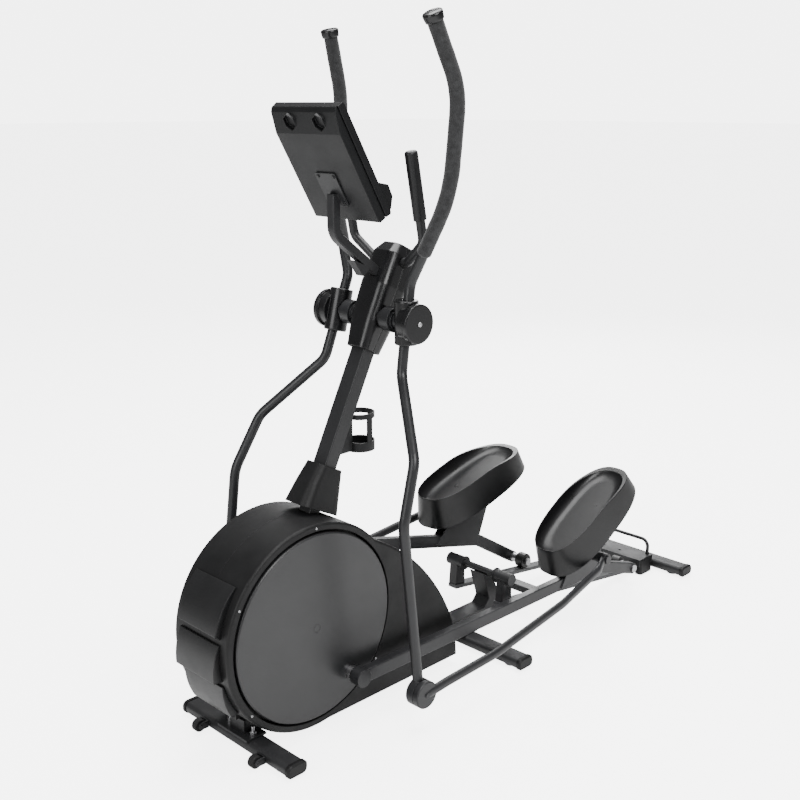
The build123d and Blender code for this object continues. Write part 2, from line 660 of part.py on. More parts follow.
CONSOLE_LENGTH = hypot(CONSOLE_HIGH[0] - CONSOLE_LOW[0], CONSOLE_HIGH[1] - CONSOLE_LOW[1])
CONSOLE_TILT = degrees(atan2(CONSOLE_HIGH[0] - CONSOLE_LOW[0], CONSOLE_HIGH[1] - CONSOLE_LOW[1]))


def console_slab(points, half):
    return side_profile([console_point(*p) for p in points], -half, half)


def console_plane(depth, up, y=0):
    """A plane on the console facing the user, its y up along the console."""
    x, z = console_point(depth, up)
    tilt = radians(CONSOLE_TILT)
    return Plane(origin=(x, y, z), x_dir=(0, -1, 0), z_dir=(-cos(tilt), 0, sin(tilt)))


def make_console_back():
    top = CONSOLE_LENGTH
    shell = console_slab([(0, 4), (0, top - 62), (13, top - 10), (20, top - 2), (BACK_DEPTH, top),
                          (BACK_DEPTH, 0), (4, 0)], CONSOLE_HALF - 3)
    shell = fillet(shell.edges().filter_by(Axis.Y).sort_by(Axis.Z)[:1], 2)
    hollow = console_slab([(3, 8), (3, top - 62), (15, top - 14), (BACK_DEPTH + 1, top - 14), (BACK_DEPTH + 1, 8)],
                          CONSOLE_HALF - 7)
    shell -= hollow
    for y in (-54, 54):
        cup = console_plane(-4, top - 34, y) * extrude(RegularPolygon(21, 6, rotation=30), 17)
        wall = console_plane(3.5, top - 34, y) * extrude(RegularPolygon(23, 6, rotation=30), 13)
        shell += wall
        shell -= cup
    return shell


def make_console_bezel():
    top = CONSOLE_LENGTH
    low, high = BACK_DEPTH + 2, BACK_DEPTH + 2 + BEZEL_DEPTH
    bezel = console_slab([(low, 2), (low, top - 2), (high - 4, top), (high, top - 6), (high, 6), (high - 4, 0)],
                         CONSOLE_HALF)
    bezel += console_slab([(BACK_DEPTH + 0.2, 10), (BACK_DEPTH + 0.2, top - 8), (low + 1, top - 8), (low + 1, 10)],
                          CONSOLE_HALF - 7)
    bezel -= console_plane(high - 5, 205) * extrude(Rectangle(180, 120), 20)
    bezel -= console_plane(high - 3, 104) * extrude(Rectangle(170, 52), 20)
    return bezel


def make_console_screen():
    high = BACK_DEPTH + 2 + BEZEL_DEPTH
    return console_plane(high - 4.8, 205) * extrude(RectangleRounded(179, 119, 4), 4)


def make_console_keypad():
    high = BACK_DEPTH + 2 + BEZEL_DEPTH
    return console_plane(high - 2.8, 104) * extrude(RectangleRounded(169, 51, 5), 2.6)


def make_tablet_ledge():
    """Curved scoop at the console's lower edge that a tablet or book stands in."""
    high = BACK_DEPTH + 2 + BEZEL_DEPTH
    outer = [(high + 0.2, 4), (high + 10, 6), (high + 30, 30), (high + 32, 62), (high + 26, 68), (high + 22, 62),
             (high + 20, 34), (high + 8, 18), (high + 0.2, 18)]
    ledge = console_slab(outer, CONSOLE_HALF - 8)
    for side in (1, -1):
        low, end = sorted((side * (CONSOLE_HALF - 14), side * (CONSOLE_HALF - 8)))
        cheek = [(high + 0.2, 4), (high + 10, 6), (high + 30, 30), (high + 32, 62), (high + 26, 68), (high + 0.2, 90)]
        ledge += side_profile([console_point(*p) for p in cheek], low, end)
    return ledge


def console_post_bar(grow):
    top = console_point(-3, 88)
    points = [(top[0] - 2, 0, top[1] - 6), at(-180, 0, 1292), at(-333, 0, 1177)]
    return box_tube(points, [46], 26 + 2 * grow, 24 + 2 * grow)


def make_console_post():
    post = console_post_bar(0)
    plate = console_plane(-4.2, 94) * extrude(RectangleRounded(74, 96, 6), 4)
    post += plate
    for y in (-28, 28):
        for up in (56, 132):
            post += console_plane(-7, up, y) * extrude(Circle(5), 3)
    gusset = [at(-236, 0, 1222), at(-268, 0, 1178), at(-300, 0, 1196)]
    post += side_profile([(p[0], p[2]) for p in gusset], -13, 13)
    return post - console_slab([(0, -20), (0, 400), (200, 400), (200, -20)], 200)


PULSE_Y = 130


def pulse_points(side):
    return [at(-382, side * 27.5, 1203), at(-384, side * 62, 1208), at(-371, side * PULSE_Y, 1264),
            at(-326, side * PULSE_Y, 1488)]


def pulse_bar_rod(grow):
    rods = []
    for side in (1, -1):
        rods.append(round_tube(pulse_points(side), [16, 34], 12.5 + grow))
    return rods[0] + rods[1]


def make_pulse_grips():
    grips = []
    for side in (1, -1):
        low, high = Vector(*pulse_points(side)[2]), Vector(*pulse_points(side)[3])
        direction = (high - low).normalized()
        length = (high - low).length
        start = low + direction * 62
        plane = Plane(origin=start, z_dir=direction)
        grip = extrude(plane * Ellipse(18, 16), length - 62 + 10)
        grip = fillet(grip.edges().sort_by(Axis.Z)[-1], 7)
        end = Plane(origin=start, z_dir=direction)
        grips.append(grip - extrude(end * Circle(12.5), length - 62 + 0.2))
    return Compound(grips)


def make_bottle_cage():
    """Bottle holder on the user's side of the mast: a cup floor, a hoop, three ribs and a spine."""
    x = mast_x(770) - 87
    outer, inner = 41, 37.5
    cage = Pos(*at(x, 0, 806)) * Cylinder(outer, 14)
    cage += Pos(*at(x, 0, 722)) * Cylinder(outer, 26)
    for angle in (90, 180, 270):
        cage += Pos(*at(x, 0, 762)) * Rot(0, 0, angle) * Pos(36.5, 0, 0) * Box(8, 16, 84)
    # the spine leans against the mast's rear face
    rear = (MAST_DEPTH / 2 + 0.3) / cos(radians(MAST_LEAN))
    spine = [at(mast_x(811) - rear, 0, 811), at(mast_x(711) - rear, 0, 711), at(x + 30, 0, 711), at(x + 30, 0, 811)]
    cage += side_profile([(p[0], p[2]) for p in spine], -11, 11)
    return cage - Pos(*at(x, 0, 713 + 60)) * Cylinder(inner, 120)


# ---- arms, links and handlebars -----------------------------------------------------------------
def arm_blank():
    """Left roller arm in its own frame: crank pin at the origin, rear towards -X, level."""
    bend = (-ARM_STRAIGHT, 0)
    tail = radians(ARM_BEND)
    end = (bend[0] - ARM_TAIL * cos(tail), -ARM_TAIL * sin(tail))
    return bend, end


def make_roller_arm():
    bend, end = arm_blank()
    points = [(-14, ARM_Y, 0), (bend[0], ARM_Y, bend[1]), (end[0], ARM_Y, end[1])]
    arm = box_tube(points, [90], ARM_WIDTH, ARM_HEIGHT, 2.5)

    def round_y(x, z, radius, low, high):
        return Pos(x, (low + high) / 2, z) * Rot(90, 0, 0) * Cylinder(radius, high - low)

    inner = ARM_Y - ARM_WIDTH / 2
    outer = ARM_Y + ARM_WIDTH / 2
    arm += round_y(0, 0, 25, inner, outer + 6)
    arm += round_y(0, 0, 19, inner - 8, inner)
    arm += round_y(end[0], end[1], ARM_HEIGHT / 2, inner, outer)
    arm -= round_y(end[0], end[1], 8.05, inner - 20, outer + 20)
    # pedal saddle: two cheeks over the tube, with the link's pin on the outer one
    for low, high in ((inner - 4, inner), (outer, outer + 4)):
        cheek = make_face(Polyline((-860, -10), (-1060, -10), (-1080, 150), (-900, 60), close=True))
        arm += Pos(0, high, 0) * extrude(Plane.XZ * cheek, high - low)
    arm += round_y(-LINK_U, LINK_V, 16, outer, LINK_PIVOT_Y - 17)
    arm += round_y(-LINK_U, LINK_V, 7.98, outer, LINK_PIVOT_Y + 20)
    arm += round_y(-LINK_U, LINK_V, 14, LINK_PIVOT_Y + 16, LINK_PIVOT_Y + 21)
    return arm


PEDAL_U = 1008
PEDAL_V = 160
PEDAL_PITCH = 30.5
PEDAL_HALF = 212
PEDAL_RIM_HALF = 84
PEDAL_FOOT_HALF = 100
PEDAL_HEIGHT = 72
PEDAL_LIFT = 26


def oval(half_length, half_width, power=2.7, steps=28):
    points = []
    for step in range(steps):
        angle = 2 * pi * step / steps
        c, s = cos(angle), sin(angle)
        x = half_length * abs(c) ** (2 / power) * (1 if c >= 0 else -1)
        y = half_width * abs(s) ** (2 / power) * (1 if s >= 0 else -1)
        points.append((x, y))
    return make_face(Spline(*points, periodic=True))


def make_pedal():
    """Deep oval tray in its own frame: bottom centre at the origin, toe towards +X."""
    levels = ((0, PEDAL_HALF + 12, PEDAL_FOOT_HALF), (PEDAL_HEIGHT + PEDAL_LIFT, PEDAL_HALF - 6, PEDAL_RIM_HALF))
    body = loft([Pos(0, 0, z) * oval(a, b) for z, a, b in levels])
    # the rim sweeps up at mid-length and down to the toe and heel
    cut = make_face([Spline((-260, PEDAL_HEIGHT - 14), (-150, PEDAL_HEIGHT + 2), (0, PEDAL_HEIGHT + PEDAL_LIFT),
                            (120, PEDAL_HEIGHT + 14), (260, PEDAL_HEIGHT + 2)),
                     Line((260, PEDAL_HEIGHT + 2), (260, 200)), Line((260, 200), (-260, 200)),
                     Line((-260, 200), (-260, PEDAL_HEIGHT - 14))])
    body -= Pos(0, 150, 0) * extrude(Plane.XZ * cut, 300)
    # dished deck: shallow in the middle, steep at the rim
    tray = loft([Pos(0, 0, z) * oval(a, b) for z, a, b in
                 ((PEDAL_HEIGHT - 17, PEDAL_HALF - 64, PEDAL_RIM_HALF - 36),
                  (PEDAL_HEIGHT - 4, PEDAL_HALF - 18, PEDAL_RIM_HALF - 10),
                  (PEDAL_HEIGHT + PEDAL_LIFT + 20, PEDAL_HALF - 9, PEDAL_RIM_HALF - 3))])
    body -= tray
    under = loft([Pos(0, 0, z) * oval(a, b) for z, a, b in
                  ((-1, PEDAL_HALF + 8, PEDAL_FOOT_HALF - 4), (PEDAL_HEIGHT - 32, PEDAL_HALF - 2, PEDAL_RIM_HALF + 2))])
    return body - under


def place_on_arm(shape, side):
    if side == "right":
        shape = mirrored(shape)
    (pin_x, pin_z), slope, _ = arm_pose(side)
    return Pos(*at(pin_x, 0, pin_z)) * Rot(0, -slope, 0) * shape


def make_roller_axle(side):
    _, _, (x, z) = arm_pose(side)
    sign = 1 if side == "left" else -1

    def span(a, b):
        return sorted((sign * a, sign * b))

    outer = ARM_Y + ARM_WIDTH / 2
    axle = disc_y(x, z, 8, *span(RAIL_Y - 24, outer + 2.4))
    axle += disc_y(x, z, 13, *span(outer + 0.4, outer + 6))
    axle += disc_y(x, z, 15, *span(RAIL_Y + 17, ARM_Y - ARM_WIDTH / 2 - 0.6))
    axle += disc_y(x, z, 12, *span(RAIL_Y - 26, RAIL_Y - 17))
    return axle


def make_roller(side):
    _, _, (x, z) = arm_pose(side)
    sign = 1 if side == "left" else -1
    low, high = sorted((sign * (RAIL_Y - 16), sign * (RAIL_Y + 16)))
    wheel = disc_y(x, z, ROLLER_RADIUS, low, high)
    wheel = fillet(wheel.edges(), 3)
    return wheel - disc_y(x, z, 8.05, low - 1, high + 1)


LINK_BAR_RADIUS = 11
LINK_START_Y = 297


def make_link(side):
    """Link bar in its own frame, then placed: rear pin at the origin, front joint on +X."""
    points = [(0, LINK_PIVOT_Y + 0.0, 0), (70, LINK_PIVOT_Y + 32, 0), (300, 306, 0), (620, 318, 0),
              (800, LINK_START_Y + 4, 0), (LINK_LENGTH - 4, LINK_START_Y, 0)]
    path = FilletPolyline(*points, radius=[45, 300, 500, 160])
    section = Plane(origin=path @ 0, z_dir=path % 0, x_dir=(0, 0, 1)) * Ellipse(14, 9.5)
    bar = sweep(section, path=path)

    def round_y(x, radius, low, high):
        return Pos(x, (low + high) / 2, 0) * Rot(90, 0, 0) * Cylinder(radius, high - low)

    eye_low, eye_high = LINK_PIVOT_Y - 15, LINK_PIVOT_Y + 15
    bar += round_y(0, 19, eye_low, eye_high)
    bar -= round_y(0, 8.04, eye_low - 10, eye_high + 20)
    bar -= round_y(0, 20, eye_high, eye_high + 20)
    drum_low = JOINT_Y + TUBE_RADIUS + PIN_GAP
    drum = round_y(LINK_LENGTH, JOINT_RADIUS, drum_low, drum_low + 17)
    drum = chamfer(drum.edges().sort_by(Axis.Y)[-1], 2.5)
    bar += drum
    bar += round_y(LINK_LENGTH, 7, drum_low + 17, drum_low + 20)
    if side == "right":
        bar = mirrored(bar)
    px, pz = on_arm(side, LINK_U, LINK_V)
    return Pos(*at(px, 0, pz)) * Rot(0, -link_angle(side), 0) * bar


# handlebar points for the left side, given from the crank axis at the left bar's rest swing
HANDLE_REST = -84.45       # direction of the lower joint from the pivot, in degrees, for these points
HANDLE_POINTS = [(-216, JOINT_Y, 104), (-158, JOINT_Y, 584), (-206, 262, 742), (-291, 131, 930), (-309, 131, 1067),
                 (-323, 131, 1166), (-331, 258, 1396), (-330, 284, 1640), (-248, 281, 1794)]
HANDLE_BENDS = [110, 70, 60, 400, 60, 380, 230]
GRIP_LOW_Z = 1243
GRIP_RADIUS = 19.5


def handle_turn(shape, side):
    if side == "right":
        shape = mirrored(shape)
    return turn_about(shape, HANDLE_X, HANDLE_Z, -(handle_angle(side) - HANDLE_REST))


def handle_path():
    return FilletPolyline(*[at(*p) for p in HANDLE_POINTS], radius=HANDLE_BENDS)


def make_handlebar():
    path = handle_path()
    start = Plane(origin=path @ 0, z_dir=path % 0)
    bar = sweep(start * Circle(TUBE_RADIUS), path=path) - sweep(start * Circle(TUBE_RADIUS - 2), path=path)
    bar += disc_y(HANDLE_X, HANDLE_Z, 22, 99, 166)
    bar -= disc_y(HANDLE_X, HANDLE_Z, 10.05, 60, 171)
    joint_x = HANDLE_X + HANDLE_DROP * cos(radians(HANDLE_REST))
    joint_z = HANDLE_Z + HANDLE_DROP * sin(radians(HANDLE_REST))
    drum = disc_y(joint_x, joint_z, JOINT_RADIUS, JOINT_Y - 13, JOINT_Y + 13)
    drum = chamfer(drum.edges().sort_by(Axis.Y)[0], 2.5)
    return bar + drum


def make_pivot_sleeve():
    """Moulded sleeve over the handlebar's pivot, with a round cap on its outer side."""
    body = Pos(*at(HANDLE_X, HANDLE_Y, HANDLE_Z)) * Cylinder(31, 116)
    body = fillet(body.edges(), 4)
    body += disc_y(HANDLE_X, HANDLE_Z, 47, HANDLE_Y + 6, 166)
    cap = disc_y(HANDLE_X, HANDLE_Z, 52, 164, 178)
    body += fillet(cap.edges().sort_by(Axis.Y)[-1], 3)
    body -= disc_y(HANDLE_X, HANDLE_Z, 22.2, 90, 172)
    path = handle_path()
    return body - sweep(Plane(origin=path @ 0, z_dir=path % 0) * Circle(TUBE_RADIUS + 0.05), path=path)


def make_grip():
    path = handle_path()
    start = next(step / 400 for step in range(200, 400) if (path @ (step / 400)).Z > GRIP_LOW_Z)
    line = path.trim(start, 1.0)
    foam = sweep(Plane(origin=line @ 0, z_dir=line % 0) * Circle(GRIP_RADIUS), path=line)
    foam -= sweep(Plane(origin=line @ 0, z_dir=line % 0) * Circle(TUBE_RADIUS + 0.05), path=line)
    end, direction = path @ 1, path % 1
    plane = Plane(origin=end, z_dir=direction)
    knob = extrude(plane * Circle(23), 14, taper=-8)
    knob += extrude(Plane(origin=end + direction * 14, z_dir=direction) * Circle(25), 8, taper=30)
    return Compound([foam, knob])


WHEEL_FORWARD = 52


def make_transport_wheel(side):
    x, _ = STABILIZERS["front"]
    sign = 1 if side == "left" else -1
    low, high = sorted((sign * 110, sign * 130))
    wheel = fillet(disc_y(x + WHEEL_FORWARD, 22, 17, low, high).edges(), 3)
    return wheel - disc_y(x + WHEEL_FORWARD, 22, 4.05, low - 1, high + 1)


def make_wheel_brackets():
    """Forks on the front stabilizer that carry the transport wheels, each with its own axle."""
    x, _ = STABILIZERS["front"]
    pieces = []
    for sign in (1, -1):
        fork = None
        for low, high in ((105, 109.5), (130.5, 135)):
            ear = [at(x + 30.2, 0, 12), at(x + 56, 0, 13), at(x + 62, 0, 22), at(x + 56, 0, 31), at(x + 30.2, 0, 32)]
            a, b = sorted((sign * low, sign * high))
            solid = side_profile([(p[0], p[2]) for p in ear], a, b)
            fork = solid if fork is None else fork + solid
        a, b = sorted((sign * 103, sign * 137))
        fork += disc_y(x + WHEEL_FORWARD, 22, 4, a, b)
        fork += block(x + 30.2, x + 33, *sorted((sign * 105, sign * 135)), 12, 32)
        pieces.append(fork)
    return Compound(pieces)


def make_fasteners():
    """Bolts and nuts: studs over the stabilizers, the mast joint and the rear plate."""
    bolts = []
    for name in ("front", "mid"):
        x, _ = STABILIZERS[name]
        for y in (-48, 48):
            nut = Pos(*at(x, y, BEAM_LOW + 6.1)) * extrude(RegularPolygon(9, 6), 10)
            stud = Pos(*at(x, y, BEAM_LOW + 6.1 + 12)) * Cylinder(4.5, 24)
            bolts.append(nut + stud)
    return Compound(bolts)


# ---- write every node ---------------------------------------------------------------------------
save(make_main_frame(), "main_frame")
for name in STABILIZERS:
    save(make_stabilizer(name), name + "_stabilizer")
save(Compound([*make_end_caps().solids(), *make_track_feet().solids()]), "end_caps")
save(make_foot_pads(), "foot_pads")
save(make_mast(), "mast_tube")
save(make_foot_cover(), "mast_foot_cover")
save(make_front_pads(), "front_trim_pads")
save(make_crossbar(), "track_crossbar")
save(make_cross_tube(), "track_cross_tube")
save(make_rear_plate(), "rear_cross_channel")
save(Compound([make_rail("left"), make_rail("right")]), "track_rails")
save(make_lift_handle(), "lift_handle")
save(make_crankshaft(), "crankshaft")
save(make_crank_pulley(), "crank_pulley")
save(make_crank_bearings(), "crank_bearings")
save(make_flywheel(), "flywheel")
save(make_flywheel_axle(), "flywheel_axle")
save(make_belt(), "drive_belt")
save(make_idler(), "idler_wheel")
save(make_magnet_yoke(), "magnet_yoke")
save(make_brake_motor(), "brake_motor")
save(make_power_inlet(), "power_inlet")
save(make_head_cover("front"), "head_front_cover")
save(make_head_cover("rear"), "head_rear_cover")
save(make_handlebar_shaft(), "handlebar_shaft")
save(make_console_back(), "console_back")
save(make_console_bezel(), "console_bezel")
save(make_console_screen(), "console_screen")
save(make_console_keypad(), "console_keypad")
save(make_tablet_ledge(), "tablet_ledge")
save(make_console_post(), "console_post")
save(pulse_bar_rod(0), "pulse_bar")
save(make_pulse_grips(), "pulse_grips")
save(make_bottle_cage(), "bottle_cage")
save(make_wheel_brackets(), "transport_wheel_forks")
save(make_fasteners(), "frame_bolts")

arm = make_roller_arm()
pedal = Pos(-PEDAL_U, ARM_Y, PEDAL_V) * Rot(0, PEDAL_PITCH, 0) * make_pedal()
handlebar = make_handlebar()
sleeve = make_pivot_sleeve()
grip = make_grip()
for side in ("left", "right"):
    save(make_housing(side), side + "_housing")
    save(make_crank_disc(side), side + "_crank_disc")
    save(place_on_arm(arm, side), side + "_roller_arm")
    save(place_on_arm(pedal, side), side + "_pedal")
    save(make_roller_axle(side), side + "_roller_axle")
    save(make_roller(side), side + "_roller_wheel")
    save(make_link(side), side + "_link_bar")
    save(handle_turn(handlebar, side), side + "_handlebar")
    save(handle_turn(sleeve, side), side + "_pivot_sleeve")
    save(handle_turn(grip, side), side + "_grip")
    save(make_transport_wheel(side), side + "_transport_wheel")
    print(side, "pin", crank_pin(side), "arm slope", round(arm_pose(side)[1], 3), "axle", arm_pose(side)[2],
          "link", round(link_angle(side), 3), "handle", round(handle_angle(side), 3))
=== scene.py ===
import json
from math import cos, pi, radians, sin, tan

import bmesh
import bpy
from mathutils import Matrix, Vector, noise


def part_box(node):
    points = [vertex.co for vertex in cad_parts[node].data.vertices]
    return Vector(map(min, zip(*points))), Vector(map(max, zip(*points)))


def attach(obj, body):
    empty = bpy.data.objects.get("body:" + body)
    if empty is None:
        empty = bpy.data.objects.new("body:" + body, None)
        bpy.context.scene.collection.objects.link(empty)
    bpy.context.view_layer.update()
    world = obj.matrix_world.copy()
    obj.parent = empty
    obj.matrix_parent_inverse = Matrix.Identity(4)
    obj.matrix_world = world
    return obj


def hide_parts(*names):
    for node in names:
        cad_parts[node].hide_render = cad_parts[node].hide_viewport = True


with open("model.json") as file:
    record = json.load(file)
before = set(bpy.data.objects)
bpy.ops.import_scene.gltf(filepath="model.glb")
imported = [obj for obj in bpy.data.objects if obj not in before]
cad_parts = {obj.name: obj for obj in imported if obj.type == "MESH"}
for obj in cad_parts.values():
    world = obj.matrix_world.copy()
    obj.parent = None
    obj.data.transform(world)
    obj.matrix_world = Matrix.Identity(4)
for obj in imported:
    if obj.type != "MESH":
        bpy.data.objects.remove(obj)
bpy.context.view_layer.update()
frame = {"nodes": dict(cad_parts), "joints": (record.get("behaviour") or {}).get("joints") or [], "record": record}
nodes = frame["nodes"]

joint_at = {j["name"]: Vector(j["pos_m"]) for j in frame["joints"] if "pos_m" in j}
CRANK = joint_at["crank_turn"]


# ---- shader groups ------------------------------------------------------------------------------
def new_group(name, inputs, outputs):
    """A shader group with named sockets; returns the tree, its input and its output."""
    tree = bpy.data.node_groups.new(name, "ShaderNodeTree")
    for label, kind, value in inputs:
        socket = tree.interface.new_socket(label, in_out="INPUT", socket_type="NodeSocket" + kind)
        socket.default_value = value
    for label, kind in outputs:
        tree.interface.new_socket(label, in_out="OUTPUT", socket_type="NodeSocket" + kind)
    return tree, tree.nodes.new("NodeGroupInput"), tree.nodes.new("NodeGroupOutput")


def add(tree, kind, links=None, **settings):
    """Add a node, set its properties and join or set its inputs by name or number."""
    node = tree.nodes.new(kind)
    for key, value in settings.items():
        setattr(node, key, value)
    for key, value in (links or {}).items():
        if isinstance(value, bpy.types.NodeSocket):
            tree.links.new(value, node.inputs[key])
        else:
            node.inputs[key].default_value = value
    return node


def maths(tree, operation, first, second, clamp=False):
    node = add(tree, "ShaderNodeMath", {0: first, 1: second}, operation=operation, use_clamp=clamp)
    return node.outputs[0]


def object_place(tree):
    """The point being shaded, in metres, on the piece's own object."""
    return add(tree, "ShaderNodeTexCoord").outputs["Object"]


def cloud(tree, place, scale, detail, **more):
    """A noise texture; returns its grey level."""
    inputs = {"Vector": place, "Scale": scale, "Detail": detail, **more}
    return add(tree, "ShaderNodeTexNoise", inputs).outputs["Fac"]


def make_moulded_grain():
    """Fine pebbled skin of moulded plastic and powder coat."""
    tree, given, out = new_group("moulded_grain", [("Scale", "Float", 900.0), ("Pebble", "Float", 0.6)],
                                 [("Height", "Float"), ("Variation", "Float")])
    place = object_place(tree)
    pebble = add(tree, "ShaderNodeTexVoronoi", {"Vector": place, "Scale": given.outputs["Scale"]})
    fuzz = cloud(tree, place, given.outputs["Scale"], 3.0)
    broad = cloud(tree, place, 9.0, 4.0)
    height = add(tree, "ShaderNodeMix", {0: given.outputs["Pebble"], 2: fuzz,
                                         3: pebble.outputs["Distance"]}).outputs[0]
    tree.links.new(height, out.inputs["Height"])
    tree.links.new(broad, out.inputs["Variation"])
    return tree


def make_edge_highlight():
    """Rounded-looking edges, and a mask of painted highlight along them, broken up in patches."""
    tree, given, out = new_group("edge_highlight", [("Radius", "Float", 0.0015), ("Wear", "Float", 0.5)],
                                 [("Mask", "Float"), ("Normal", "Vector")])
    bevel = add(tree, "ShaderNodeBevel", {"Radius": given.outputs["Radius"]}, samples=4)
    face = add(tree, "ShaderNodeNewGeometry").outputs["Normal"]
    dot = add(tree, "ShaderNodeVectorMath", {0: bevel.outputs["Normal"], 1: face},
              operation="DOT_PRODUCT")
    # painted highlight: the mask grows where the bevelled normal turns away from the face's own normal, that is
    # along edges
    turn = maths(tree, "SUBTRACT", 1.0, dot.outputs["Value"], clamp=True)
    patch = cloud(tree, object_place(tree), 42.0, 5.0)
    broken = maths(tree, "MULTIPLY", turn, maths(tree, "MULTIPLY", patch, 4.0))
    mask = maths(tree, "MULTIPLY", broken, given.outputs["Wear"], clamp=True)
    tree.links.new(mask, out.inputs["Mask"])
    tree.links.new(bevel.outputs["Normal"], out.inputs["Normal"])
    return tree


def make_lighter_tops():
    """A mask, in patches, of the faces that look up, which the material turns a lighter grey."""
    tree, given, out = new_group("lighter_tops", [("Amount", "Float", 0.3), ("Scale", "Float", 26.0)],
                                 [("Mask", "Float")])
    face = add(tree, "ShaderNodeNewGeometry").outputs["Normal"]
    up = add(tree, "ShaderNodeSeparateXYZ", {0: face}).outputs["Z"]
    flat = add(tree, "ShaderNodeMapRange", {"Value": up, "From Min": 0.35, "From Max": 0.98}).outputs[0]
    patch = cloud(tree, object_place(tree), given.outputs["Scale"], 6.0, Roughness=0.65)
    uneven = maths(tree, "MULTIPLY", flat, patch)
    mask = maths(tree, "MULTIPLY", uneven, given.outputs["Amount"], clamp=True)
    tree.links.new(mask, out.inputs["Mask"])
    return tree


def make_handled_sheen():
    """Roughness that drifts between two values, as touched plastic and paint do."""
    tree, given, out = new_group("handled_sheen", [("Low", "Float", 0.35), ("High", "Float", 0.5),
                                                   ("Scale", "Float", 14.0)], [("Roughness", "Float")])
    drift = cloud(tree, object_place(tree), given.outputs["Scale"], 5.0)
    value = add(tree, "ShaderNodeMapRange", {
        "Value": drift, "From Min": 0.3, "From Max": 0.7,
        "To Min": given.outputs["Low"], "To Max": given.outputs["High"]})
    tree.links.new(value.outputs[0], out.inputs["Roughness"])
    return tree


def make_foam_cells():
    """Speckled colour and open cells of a foam grip."""
    tree, given, out = new_group("foam_cells", [("Scale", "Float", 260.0)],
                                 [("Speckle", "Float"), ("Height", "Float")])
    place = object_place(tree)
    cells = add(tree, "ShaderNodeTexVoronoi", {"Vector": place, "Scale": given.outputs["Scale"]})
    blotch = cloud(tree, place, 70.0, 6.0, Roughness=0.7)
    speckle = add(tree, "ShaderNodeMapRange", {"Value": blotch, "From Min": 0.42, "From Max": 0.62})
    tree.links.new(speckle.outputs[0], out.inputs["Speckle"])
    tree.links.new(cells.outputs["Distance"], out.inputs["Height"])
    return tree


def make_turned_lines():
    """Fine rings left by turning, round the machine's cross axis."""
    tree, given, out = new_group("turned_lines", [("Scale", "Float", 700.0)],
                                 [("Height", "Float"), ("Shade", "Float")])
    squeeze = add(tree, "ShaderNodeMapping", {"Vector": object_place(tree), "Scale": (0.04, 1.0, 0.04)})
    lines = cloud(tree, squeeze.outputs[0], given.outputs["Scale"], 3.0)
    tree.links.new(lines, out.inputs["Height"])
    tree.links.new(lines, out.inputs["Shade"])
    return tree


GRAIN = make_moulded_grain()
EDGE_HIGHLIGHT = make_edge_highlight()
LIGHTER_TOPS = make_lighter_tops()
SHEEN = make_handled_sheen()
FOAM = make_foam_cells()
LINES = make_turned_lines()


# ---- materials ----------------------------------------------------------------------------------
# sockets of a Mix node that mixes colours
MIX_BASE, MIX_OVER, MIX_RESULT = 6, 7, 2
# the lighter grey laid, in patches, over faces that look up
TOP_GREY_COLOUR = (0.16, 0.16, 0.165)
COAT_ROUGHNESS = 0.12


def new_material(name):
    """A new material with its node tree and its shader."""
    material = bpy.data.materials.new(name)
    material.use_nodes = True
    return material, material.node_tree, material.node_tree.nodes["Principled BSDF"]


def use(tree, group, **values):
    """Add a shader group with its inputs set."""
    node = tree.nodes.new("ShaderNodeGroup")
    node.node_tree = group
    for key, value in values.items():
        node.inputs[key].default_value = value
    return node


def blend_colour(tree, mask, base, over):
    """base where the mask is dark and over where it is bright; each is a colour or a socket."""
    node = add(tree, "ShaderNodeMix", {0: mask}, data_type="RGBA")
    for socket, value in ((node.inputs[MIX_BASE], base), (node.inputs[MIX_OVER], over)):
        if isinstance(value, bpy.types.NodeSocket):
            tree.links.new(value, socket)
        else:
            socket.default_value = (*value, 1.0)
    return node.outputs[MIX_RESULT]


def lighter(colour, gain):
    return tuple(min(1.0, channel * gain) for channel in colour)


def coated(name, colour, low, high, grain=900.0, depth=0.00006, top_grey=0.25, highlight=0.35, radius=0.0015,
           metallic=0.0, coat=0.0, pebble=0.6, gloss=0.4):
    """Painted, powder-coated or moulded surface; low and high bound its roughness."""
    material, tree, shader = new_material(name)
    skin = use(tree, GRAIN, Scale=grain, Pebble=pebble)
    edges = use(tree, EDGE_HIGHLIGHT, Radius=radius, Wear=highlight)
    top_mask = use(tree, LIGHTER_TOPS, Amount=top_grey)
    sheen = use(tree, SHEEN, Low=low, High=high)
    tone = blend_colour(tree, skin.outputs["Variation"], lighter(colour, 0.8), lighter(colour, 1.2))
    # painted highlight: edges are made 3.2 times lighter than the surface's colour
    tone = blend_colour(tree, edges.outputs["Mask"], tone, lighter(colour, 3.2))
    # faces that look up are turned, in patches, towards a lighter grey
    tone = blend_colour(tree, top_mask.outputs["Mask"], tone, TOP_GREY_COLOUR)
    tree.links.new(tone, shader.inputs["Base Color"])
    tree.links.new(sheen.outputs["Roughness"], shader.inputs["Roughness"])
    bump = add(tree, "ShaderNodeBump", {"Height": skin.outputs["Height"], "Normal": edges.outputs["Normal"],
                                        "Strength": 0.6, "Distance": depth})
    tree.links.new(bump.outputs[0], shader.inputs["Normal"])
    shader.inputs["Metallic"].default_value = metallic
    shader.inputs["Specular IOR Level"].default_value = gloss
    shader.inputs["Coat Weight"].default_value = coat
    shader.inputs["Coat Roughness"].default_value = COAT_ROUGHNESS
    return material


